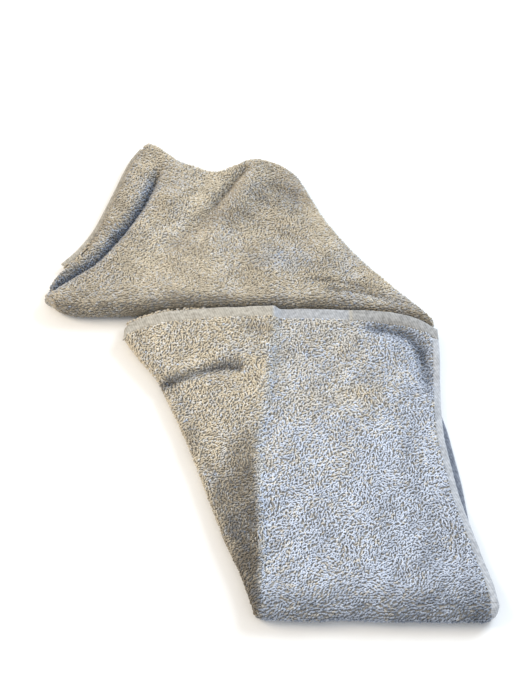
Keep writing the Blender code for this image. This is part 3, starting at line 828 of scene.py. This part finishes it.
def makeFrontFold():
    # the fold's cloth, side hem and pile, with their placing baked into their meshes
    cell = towel["groundCell"]
    west, east = float(edgeAt(flap["left"], seamY)), float(edgeAt(flap["right"], seamY))
    hemStart = east - flap["sideHemWide"]
    x = np.linspace(west + 0.0006, east - 0.0022, int(0.19 / cell))[None, :]
    grid = frontFoldGrid(x)
    cloth = clothShell("frontFoldCloth", grid, towel["clothThick"], groundLook)
    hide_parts("front_fold")
    # the side hem goes round the fold too, at its right end
    band = clothShell("foldSideHemBand", frontFoldGrid(np.linspace(hemStart, east - 0.0002, 8)[None, :], 0.0004),
                      towel["hemThick"], sideHemLook)
    piled = grid[2:, : int((x < hemStart + 0.001).sum())]
    loops = pile("frontFoldPile", piled, 41, flapLightTint, flapShade, straight=np.full(piled.shape[:2], 0.5))
    for piece in [cloth, band, *loops]:
        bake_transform(piece)
    finishSheet(cloth, grid, fold["flat"])


# ---- the rear packet: its corners are the ends of these four curves
rear = {
    "topFlat": (0.400, 0.235),
    "innerFlat": (0.360, 0.210),
    "left": ((-0.1865, 0.298), (-0.1810, 0.3135), (-0.1680, 0.3280), (-0.1535, 0.344), (-0.1445, 0.368),
             (-0.1375, 0.3935), (-0.1305, 0.4185), (-0.1235, 0.443), (-0.1155, 0.468), (-0.105, 0.489)),
    "right": ((0.164, 0.270), (0.146, 0.290), (0.127, 0.309), (0.108, 0.329), (0.092, 0.350),
              (0.077, 0.372), (0.065, 0.395), (0.055, 0.417), (0.044, 0.440)),
    "front": ((-0.1865, 0.298), (-0.168, 0.2820), (-0.135, 0.2795), (-0.103, 0.2810), (-0.070, 0.2840),
              (-0.036, 0.2850), (-0.002, 0.2850), (0.034, 0.2850), (0.070, 0.2840), (0.104, 0.2825),
              (0.136, 0.2785), (0.164, 0.270)),
    "far": ((-0.105, 0.489), (-0.091, 0.480), (-0.074, 0.466), (-0.054, 0.455), (-0.033, 0.451),
            (-0.014, 0.459), (0.002, 0.4665), (0.020, 0.464), (0.034, 0.453), (0.044, 0.440)),
    "high": 0.0215,
    "crease": ((-0.0900, 0.4600), (-0.0988, 0.4247), (-0.1119, 0.3894), (-0.1262, 0.3626), (-0.1430, 0.3362),
               (-0.1621, 0.3199), (-0.1790, 0.3062), (-0.1880, 0.2990)),
    "valley": ((0.000, 0.4560), (-0.0140, 0.4390), (-0.0254, 0.4213), (-0.0435, 0.3917)),
    "wideValley": ((-0.030, 0.4150), (-0.0435, 0.3917), (-0.0728, 0.3549), (-0.1000, 0.3260)),
    # the valley's side is a painted highlight where light falls on it; the front patch is painted shade near the front
    # fold
    "valleySide": ((-0.020, 0.4520), (-0.043, 0.4180), (-0.064, 0.3860), (-0.086, 0.3550), (-0.108, 0.3270)),
    "frontPatch": ((-0.0860, 0.2930), (-0.0600, 0.2895), (-0.0345, 0.2895), (-0.0120, 0.2900)),
    "swells": (  # line, height, width, softness of its ends
        (((0.012, 0.466), (0.002, 0.440), (-0.010, 0.405), (-0.020, 0.385)), 0.0060, 0.0120, 0.3),
        (((0.030, 0.445), (0.050, 0.425), (0.062, 0.390)), 0.0025, 0.0090, 0.4),
        (((-0.075, 0.462), (-0.066, 0.430), (-0.085, 0.385)), 0.0030, 0.0140, 0.3),
        (((0.000, 0.375), (0.030, 0.365), (0.060, 0.352)), -0.0020, 0.0100, 0.4),
    ),
    "tones": (  # x, y, widths along both, darkening, coolness: painted shade and painted light colour
        (-0.010, 0.390, 0.026, 0.020, 0.24, 0.05),
        (0.025, 0.331, 0.030, 0.014, 0.16, 0.42),
        (-0.080, 0.427, 0.020, 0.014, 0.18, 0.20),
        (-0.090, 0.322, 0.030, 0.016, -0.10, -0.15),
        (0.030, 0.425, 0.032, 0.030, 0.34, 0.10),
        (0.080, 0.330, 0.040, 0.030, 0.08, 0.05),
    ),
    "pleats": (((0.048, 0.3090), (0.080, 0.3080), (0.118, 0.3000)),
               ((0.060, 0.3000), (0.095, 0.2975), (0.132, 0.2900))),
    "patch": ((0.014, 0.424), (0.031, 0.421), (0.050, 0.402)),
    "second": ((-0.1780, 0.3390), (-0.1655, 0.3545), (-0.1560, 0.3705), (-0.1494, 0.3855), (-0.1438, 0.4035),
               (-0.1385, 0.4210), (-0.1335, 0.4385), (-0.1285, 0.4560), (-0.1225, 0.4740), (-0.1140, 0.4905)),
    "secondInward": (0.0052, -0.0034),  # across the hem of that edge
    "secondHigh": 0.0080,
    "thirdHigh": 0.0038,
}


def rearTop(x, y):
    # height of the rear packet's top layer: lower to its left and to its right corner, a deep crease along
    # the left band, a valley from the far edge towards the middle, humps beside it, small folds at the front
    z = rear["high"] - 0.0035 * ease(y, 0.31, 0.43) - 0.0035 * (1 - ease(x, -0.19, -0.10))
    z = z - 0.0085 * ease(x, 0.045, 0.165)
    z = z + 0.0010 * softNoise(x, y, 0.06, 3) + 0.0004 * softNoise(x, y, 0.02, 4)
    z = z - 0.0115 * alongPath(x, y, rear["crease"], 0.0050, 0.10)
    z = z - 0.0062 * alongPath(x, y, rear["valley"], 0.0055, 0.2)
    z = z - 0.0050 * alongPath(x, y, rear["wideValley"], 0.0120, 0.4)
    z = z - 0.0030 * alongPath(x, y, rear["patch"], 0.0080, 0.3)
    for line, height, width, soft in rear["swells"]:
        z = z + height * alongPath(x, y, line, width, soft)
    for line in rear["pleats"]:
        z = z - 0.0022 * alongPath(x, y, line, 0.0028, 0.3)
    return z


def rearLightTint(x, y):
    # painted light colour: mostly warm; cooler in the shaded crease, on the dark patches and towards the right corner
    share = 0.10 + 0.14 * softNoise(x, y, 0.055, 55) + toneSum(x, y, rear["tones"], 5)
    share = share + 1.00 * alongPath(x, y, rear["crease"], 0.0074, 0.16)
    return share + 0.30 * ease(x, 0.02, 0.12) * bump(y, 0.290, 0.012)


def rearShade(x, y):
    # painted shade: darker in the crease and beside it, along the rolled left edge, in the valley, on patches, in the
    # pleats, near and round the front fold; painted light: paler on the lit side of the valley
    shade = 0.31 + 0.08 * softNoise(x, y, 0.045, 57) + toneSum(x, y, rear["tones"], 4)
    shade = shade + 0.84 * alongPath(x, y, rear["crease"], 0.0062, 0.16)
    shade = shade + 0.32 * alongPath(x, y, rear["left"][2:], 0.0034, 0.15)
    shade = shade + 0.46 * alongPath(x, y, rear["valley"], 0.0048, 0.2)
    shade = shade + 0.27 * alongPath(x, y, rear["wideValley"], 0.0100, 0.4)
    shade = shade - 0.24 * alongPath(x, y, rear["valleySide"], 0.0090, 0.3)
    shade = shade + 0.18 * alongPath(x, y, rear["patch"], 0.0085, 0.3)
    shade = shade + 0.34 * alongPath(x, y, rear["frontPatch"], 0.0050, 0.2)
    for line in rear["pleats"]:
        shade = shade + 0.42 * alongPath(x, y, line, 0.0028, 0.3)
    return shade + 0.30 * (1 - ease(y, 0.278, 0.300)) + 0.08 * (1 - ease(x, -0.13, -0.09)) - 0.06 * bump(x, -0.06, 0.05)


def edgeTurns(count, steps):
    # for one direction of a pillow: share over the flat inside, turning angle over each edge, and the side it is on
    turn = np.linspace(math.pi * 0.95, 0, steps + 1)
    share = np.concatenate([np.zeros(steps), np.linspace(0, 1, count), np.ones(steps)])
    angle = np.concatenate([turn[:-1], np.zeros(count), turn[-2::-1]])
    side = np.concatenate([-np.ones(steps), np.zeros(count), np.ones(steps)])
    return share, angle, side


def makeRearTop():
    # a patch between four curves (both pairs blended, less the corners), rolled down along all its edges
    cell = towel["groundCell"]
    s, angleS, sideS = (part[None, :] for part in edgeTurns(int(0.30 / cell), 10))
    v, angleV, sideV = (part[:, None] for part in edgeTurns(int(0.17 / cell), 10))
    rollS = 0.0085 / (0.33 - 0.18 * v)
    rollV = 0.0090 / 0.19
    S, V = np.broadcast_arrays(rollS + (1 - 2 * rollS) * s + sideS * rollS * np.sin(angleS),
                               rollV + (1 - 2 * rollV) * v + sideV * rollV * np.sin(angleV))
    west, east = smoothCurve(rear["left"], V), smoothCurve(rear["right"], V)
    front, far = smoothCurve(rear["front"], S), smoothCurve(rear["far"], S)
    a, b = np.array(rear["left"][0]), np.array(rear["right"][0])
    c, d = np.array(rear["left"][-1]), np.array(rear["right"][-1])
    S, V = S[..., None], V[..., None]
    flat = (west * (1 - S) + east * S + front * (1 - V) + far * V
            - (a * (1 - S) * (1 - V) + b * S * (1 - V) + c * (1 - S) * V + d * S * V))
    x, y = flat[..., 0], flat[..., 1]
    down = 1 - (1 + np.cos(angleS)) / 2 * (1 + np.cos(angleV)) / 2
    low = 0.0024 + 0.0094 * ease(V[..., 0], 0.12, 0.20) * (1 - ease(S[..., 0], 0.1, 0.3))
    z = low + (rearTop(x, y) - low) * (1 - down)
    grid = placed(x, y, z)
    cloth = clothShell("rearTopCloth", grid, towel["clothThick"], groundLook)
    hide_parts("rear_top_layer", "rear_front_fold", "rear_right_fold", "rear_far_fold", "left_end_roll")
    rows = 0.92 * (1 - ease(y, 0.292, 0.310))
    loops = pile("rearTopPile", grid, 51, rearLightTint, rearShade, straight=rows, mask=(down < 0.93).astype(float))
    for piece in [cloth, *loops]:
        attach(piece, "laid_towel")
    finishSheet(cloth, grid, rear["topFlat"])


def makeRearInner():
    # the middle and the bottom layer; their left edges show beside the top layer's, the middle one with its hem
    cell = towel["groundCell"]
    v = np.linspace(0, 1, int(0.18 / cell))
    outer, inward = smoothCurve(rear["second"], v), np.array(rear["secondInward"])
    across = np.linspace(0, 1, 7)[None, :]
    line = outer[:, None] + inward * across[..., None]
    swell = 0.0008 * (np.sqrt(1 - (2 * across - 1) ** 4) - 0.5)
    grid = placed(line[..., 0], line[..., 1], rear["secondHigh"] + swell)
    band = clothShell("farHemBand", grid, towel["hemThick"], hemLook)
    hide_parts("far_end_hem")
    seam = stitches("farHemStitches", grid[:, 4], gridNormals(grid)[:, 4], 0.0029, 0.00026, 0.62)
    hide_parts("far_hem_stitching")
    s = np.linspace(0, 1, int(0.25 / cell))[None, :, None]
    for name, node, inset, top, rests, seed in (
        ("rearMiddle", "rear_middle_layer", 1.0, rear["secondHigh"], "rear_bottom_layer", 61),
        ("rearBottom", "rear_bottom_layer", 0.45, rear["thirdHigh"], "floor", 63),
    ):
        west = outer + inward * inset
        east = smoothCurve(rear["right"], 0.06 + 0.88 * v) - np.array([0.007, 0.007])
        flat = west[:, None] * (1 - s) + east[:, None] * s
        sag = 0.020 * np.sin(math.pi * s[..., 0]) * v[:, None] ** 3
        y = flat[..., 1] - sag - 0.012 * v[:, None] ** 4 * s[..., 0]
        y = y - 0.040 * (1 - v[:, None]) * ease(s[..., 0], 0.02, 0.25) * (1 - s[..., 0])
        lower = 0.0040 * ease(flat[..., 0], 0.10, 0.16) * (name == "rearMiddle")
        grid = placed(flat[..., 0], y, top - lower)
        cloth = clothShell(name + "Cloth", grid, towel["clothThick"], groundLook)
        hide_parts(node)
        loops = pile(name + "Pile", grid[:, :12], seed, rearLightTint, rearShade, hidden=True)
        for piece in [cloth, *loops]:
            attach(piece, "laid_towel")
        finishSheet(cloth, grid, rear["innerFlat"])
    for piece in (band, seam):
        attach(piece, "laid_towel")
    print("rear inner layers made")


# ---- floor and light
light = {
    "floorHalf": 20.0,
    "floorPaint": (0.90, 0.90, 0.90),
    "sky": ((0.96, 0.98, 1.0), 0.78),
    "lamps": (  # name, place, size, power, colour
        ("windowLight", (1.10, 0.85, 0.95), 0.8, 24.0, (0.80, 0.90, 1.0)),
        ("roomLight", (-1.05, 0.10, 0.90), 0.7, 11.0, (1.0, 0.84, 0.62)),
    ),
}


def addStage():
    # a large pale floor, an even sky, and two soft lamps turned towards the towel
    mesh = bpy.data.meshes.new("floor")
    far = light["floorHalf"]
    mesh.from_pydata([(-far, -far, 0), (far, -far, 0), (far, far, 0), (-far, far, 0)], [], [(0, 1, 2, 3)])
    floor = bpy.data.objects.new("floor", mesh)
    bpy.context.scene.collection.objects.link(floor)
    mesh.materials.append(plainMaterial("floorPaint", light["floorPaint"], 0.8, 0.0))
    floor.location.z = -0.0002
    world = bpy.data.worlds.new("world")
    bpy.context.scene.world = world
    world.use_nodes = True
    world.node_tree.nodes["Background"].inputs["Color"].default_value = (*light["sky"][0], 1)
    world.node_tree.nodes["Background"].inputs["Strength"].default_value = light["sky"][1]
    for name, spot, size, power, colour in light["lamps"]:
        data = bpy.data.lights.new(name, "AREA")
        data.size, data.energy, data.color = size, power, colour
        lamp = bpy.data.objects.new(name, data)
        bpy.context.scene.collection.objects.link(lamp)
        lamp.location = spot
        lamp.rotation_euler = Vector(spot).to_track_quat("Z", "Y").to_euler()
    bpy.context.scene.view_settings.view_transform = "Standard"


makeFlapHems()
makeFlap()
makeUnder()
makeFrontFold()
makeRearInner()
makeRearTop()
addStage()

triangles = sum(len(f.vertices) - 2 for o in bpy.data.objects if o.type == "MESH" for f in o.data.polygons)
print(f"{triangles} triangles")
bpy.context.view_layer.update()
